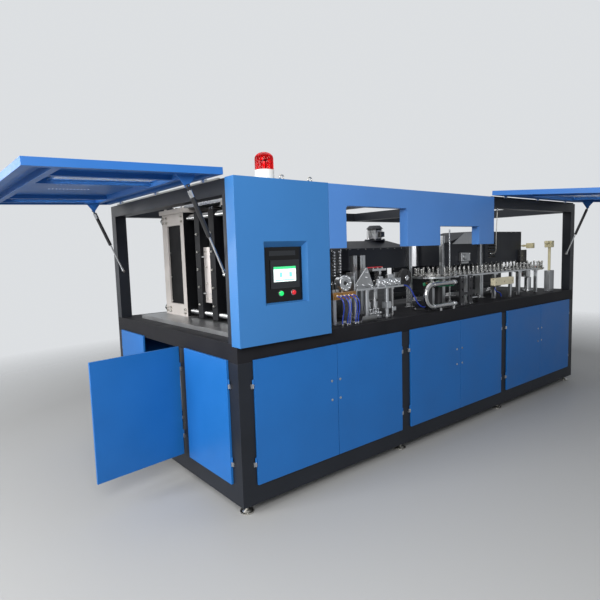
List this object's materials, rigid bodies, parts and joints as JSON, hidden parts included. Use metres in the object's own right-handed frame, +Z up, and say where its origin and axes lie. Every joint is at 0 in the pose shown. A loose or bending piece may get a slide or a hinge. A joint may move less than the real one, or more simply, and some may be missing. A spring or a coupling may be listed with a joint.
{
  "type": "blow moulding machine",
  "caption": "Linear stretch-blow moulding machine in a sheet-metal enclosure with cupboard doors, gullwing flaps, control cabinet, clamp unit and heating ovens.",
  "frame": {"origin": "centre of the underside of the front left levelling foot", "axes": "+X along the machine from the control cabinet to the right end, +Y from the front to the rear, +Z up"},
  "size_m": [5.768, 3.1475, 2.287],
  "materials": {
    "frame_black": "satin powder coat",
    "door_blue": "satin powder coat",
    "cabinet_blue": "satin powder coat",
    "flap_blue": "satin powder coat",
    "zinc_steel": "zinc plated",
    "hinge_steel": "painted hinge",
    "polished_steel": "polished",
    "bed_aluminium": "milled",
    "profile_aluminium": "satin anodised",
    "mould_aluminium": "ground",
    "grey_casting": "light grey paint",
    "dark_casting": "oiled",
    "panel_black": "gloss",
    "screen_bezel": "fine texture",
    "button_green": "gloss",
    "button_red": "gloss",
    "beacon_white": "gloss",
    "beacon_red": "clear red",
    "pane_clear": "clear",
    "strut_black": "gloss black",
    "rod_chrome": "polished",
    "hood_black": "satin",
    "stand_black": "satin",
    "pulley_black": "moulded",
    "wheel_green": "machined nylon",
    "nylon_cream": "machined nylon",
    "lamp_quartz": "frosted quartz",
    "receiver_grey": "satin",
    "hose_blue": "polyurethane",
    "cable_grey": "sheath",
    "chain_steel": "oiled"
  },
  "bodies": {
    "machine": {"base_frame": "frame_black", "table_frame": "frame_black", "levelling_feet": "zinc_steel", "bed_plate": "bed_aluminium", "upper_frame": "frame_black", "side_panels": "door_blue", "hinges": "hinge_steel", "control_cabinet": "cabinet_blue", "hmi_panel": "panel_black", "touch_screen": "screen_bezel", "beacon_base": "beacon_white", "beacon_dome": "beacon_red", "front_fascia": "cabinet_blue", "clamp_frame": "grey_casting", "tie_bars": "zinc_steel", "stretch_bridge": "zinc_steel", "transfer_table": "bed_aluminium", "wheel_stand": "stand_black", "guide_tube": "polished_steel", "chain_rail": "profile_aluminium", "preform_carriers": "chain_steel", "oven_hood_left": "hood_black", "oven_hood_middle": "hood_black", "oven_hood_right": "hood_black", "oven_columns": "profile_aluminium", "oven_lamps": "lamp_quartz", "guide_block": "nylon_cream", "air_receiver": "receiver_grey", "air_hoses": "hose_blue", "signal_cable": "cable_grey"},
    "front_door_1": {"front_door_1": "door_blue"},
    "front_door_2": {"front_door_2": "door_blue"},
    "front_door_3": {"front_door_3": "door_blue"},
    "front_door_4": {"front_door_4": "door_blue"},
    "front_door_5": {"front_door_5": "door_blue"},
    "front_door_6": {"front_door_6": "door_blue"},
    "end_door_front": {"end_door_front": "door_blue"},
    "end_door_open": {"end_door_open": "door_blue"},
    "end_door_rear": {"end_door_rear": "door_blue"},
    "end_flap": {"end_flap": "flap_blue", "end_flap_panes": "pane_clear"},
    "front_flap": {"front_flap": "flap_blue", "front_flap_panes": "pane_clear"},
    "end_strut_tubes": {"end_strut_tubes": "strut_black"},
    "end_strut_rods": {"end_strut_rods": "rod_chrome"},
    "front_strut_tube": {"front_strut_tube": "strut_black"},
    "front_strut_rod": {"front_strut_rod": "rod_chrome"},
    "start_button": {"start_button": "button_green"},
    "stop_button": {"stop_button": "button_red"},
    "rear_clamp": {"rear_platen": "dark_casting", "rear_mould": "mould_aluminium"},
    "front_clamp": {"front_platen": "dark_casting", "front_mould": "mould_aluminium"},
    "stretch_rods": {"stretch_rods": "zinc_steel"},
    "base_mould": {"base_mould": "zinc_steel"},
    "transfer_carriage": {"transfer_carriage": "bed_aluminium"},
    "drive_pulley": {"drive_pulley": "pulley_black"},
    "infeed_wheel": {"infeed_wheel": "wheel_green"},
    "chain_wheel_left": {"chain_wheel_left": "chain_steel"},
    "chain_wheel_right": {"chain_wheel_right": "chain_steel"}
  },
  "joints": [
    {"name": "front_door_1_hinge", "type": "hinge", "parent": "machine", "child": "front_door_1", "pos_m": [0.041, -0.0685, 0.59], "axis": [0, 0, -1], "range_deg": [0, 110]},
    {"name": "front_door_2_hinge", "type": "hinge", "parent": "machine", "child": "front_door_2", "pos_m": [1.46233, -0.0685, 0.59], "axis": [0, 0, 1], "range_deg": [0, 92]},
    {"name": "front_door_3_hinge", "type": "hinge", "parent": "machine", "child": "front_door_3", "pos_m": [1.55933, -0.0685, 0.59], "axis": [0, 0, -1], "range_deg": [0, 92]},
    {"name": "front_door_4_hinge", "type": "hinge", "parent": "machine", "child": "front_door_4", "pos_m": [2.98067, -0.0685, 0.59], "axis": [0, 0, 1], "range_deg": [0, 92]},
    {"name": "front_door_5_hinge", "type": "hinge", "parent": "machine", "child": "front_door_5", "pos_m": [3.07767, -0.0685, 0.59], "axis": [0, 0, -1], "range_deg": [0, 92]},
    {"name": "front_door_6_hinge", "type": "hinge", "parent": "machine", "child": "front_door_6", "pos_m": [4.499, -0.0685, 0.59], "axis": [0, 0, 1], "range_deg": [0, 110]},
    {"name": "end_door_front_hinge", "type": "hinge", "parent": "machine", "child": "end_door_front", "pos_m": [-0.0685, 0.041, 0.59], "axis": [0, 0, 1], "range_deg": [0, 110]},
    {"name": "end_door_open_hinge", "type": "hinge", "parent": "machine", "child": "end_door_open", "pos_m": [-0.0685, 0.727, 0.59], "axis": [0, 0, 1], "range_deg": [-97, 10]},
    {"name": "end_door_rear_hinge", "type": "hinge", "parent": "machine", "child": "end_door_rear", "pos_m": [-0.0685, 1.899, 0.59], "axis": [0, 0, -1], "range_deg": [0, 110]},
    {"name": "end_flap_hinge", "type": "hinge", "parent": "machine", "child": "end_flap", "pos_m": [-0.055, 1, 2.112], "axis": [0, -1, 0], "range_deg": [0, 88.2]},
    {"name": "end_strut_tubes_pivot", "type": "hinge", "parent": "end_flap", "child": "end_strut_tubes", "pos_m": [-0.25817, 1, 2.05059], "axis": [0, -1, 0], "range_deg": [-116.78, 0]},
    {"name": "end_strut_rods_slide", "type": "slide", "parent": "end_strut_tubes", "child": "end_strut_rods", "axis": [0.389, 0, -0.9213], "range_m": [-0.1882, 0]},
    {"name": "front_flap_hinge", "type": "hinge", "parent": "machine", "child": "front_flap", "pos_m": [3.79, -0.055, 2.112], "axis": [1, 0, 0], "range_deg": [0, 85.4]},
    {"name": "front_strut_tube_pivot", "type": "hinge", "parent": "front_flap", "child": "front_strut_tube", "pos_m": [4.48, -0.25493, 2.04074], "axis": [1, 0, 0], "range_deg": [-114.07, 0]},
    {"name": "front_strut_rod_slide", "type": "slide", "parent": "front_strut_tube", "child": "front_strut_rod", "axis": [0, 0.3903, -0.9207], "range_m": [-0.1778, 0]},
    {"name": "start_button_push", "type": "slide", "parent": "machine", "child": "start_button", "axis": [0, 1, 0], "range_m": [0, 0.004], "stiffness_N_per_m": 400},
    {"name": "stop_button_push", "type": "slide", "parent": "machine", "child": "stop_button", "axis": [0, 1, 0], "range_m": [0, 0.004], "stiffness_N_per_m": 400},
    {"name": "rear_clamp_slide", "type": "slide", "parent": "machine", "child": "rear_clamp", "axis": [0, 1, 0], "range_m": [0, 0.15]},
    {"name": "front_clamp_slide", "type": "slide", "parent": "machine", "child": "front_clamp", "axis": [0, -1, 0], "range_m": [0, 0.15]},
    {"name": "stretch_rods_slide", "type": "slide", "parent": "machine", "child": "stretch_rods", "axis": [0, 0, -1], "range_m": [0, 0.19]},
    {"name": "base_mould_slide", "type": "slide", "parent": "machine", "child": "base_mould", "axis": [0, 0, -1], "range_m": [0, 0.04]},
    {"name": "transfer_slide", "type": "slide", "parent": "machine", "child": "transfer_carriage", "axis": [1, 0, 0], "range_m": [-0.2, 0.06]},
    {"name": "drive_pulley_spin", "type": "hinge", "parent": "machine", "child": "drive_pulley", "pos_m": [1.735, 0.12, 1.399], "axis": [0, 1, 0], "range_deg": [-150, 46]},
    {"name": "chain_wheel_left_spin", "type": "hinge", "parent": "machine", "child": "chain_wheel_left", "pos_m": [2.34, 0.29, 1.38], "axis": [0, 0, 1], "continuous": true},
    {"name": "chain_wheel_right_spin", "type": "hinge", "parent": "machine", "child": "chain_wheel_right", "pos_m": [4.22, 0.29, 1.38], "axis": [0, 0, 1], "continuous": true},
    {"name": "infeed_wheel_spin", "type": "hinge", "parent": "machine", "child": "infeed_wheel", "pos_m": [2.23, 0.13, 1.31], "axis": [0, 0, 1], "continuous": true}
  ],
  "couplings": [
    {"joint": "end_strut_tubes_pivot", "follows": "end_flap_hinge", "ratio": -1.3184},
    {"joint": "end_strut_rods_slide", "follows": "end_flap_hinge", "m_per_rad": -0.12159},
    {"joint": "front_strut_tube_pivot", "follows": "front_flap_hinge", "ratio": -1.3299},
    {"joint": "front_strut_rod_slide", "follows": "front_flap_hinge", "m_per_rad": -0.11865},
    {"joint": "front_clamp_slide", "follows": "rear_clamp_slide", "ratio": 1},
    {"joint": "base_mould_slide", "follows": "rear_clamp_slide", "ratio": 0.2666},
    {"joint": "drive_pulley_spin", "follows": "transfer_slide", "rad_per_m": 12.987},
    {"joint": "chain_wheel_right_spin", "follows": "chain_wheel_left_spin", "ratio": 1},
    {"joint": "infeed_wheel_spin", "follows": "chain_wheel_left_spin", "ratio": -1.0714}
  ]
}
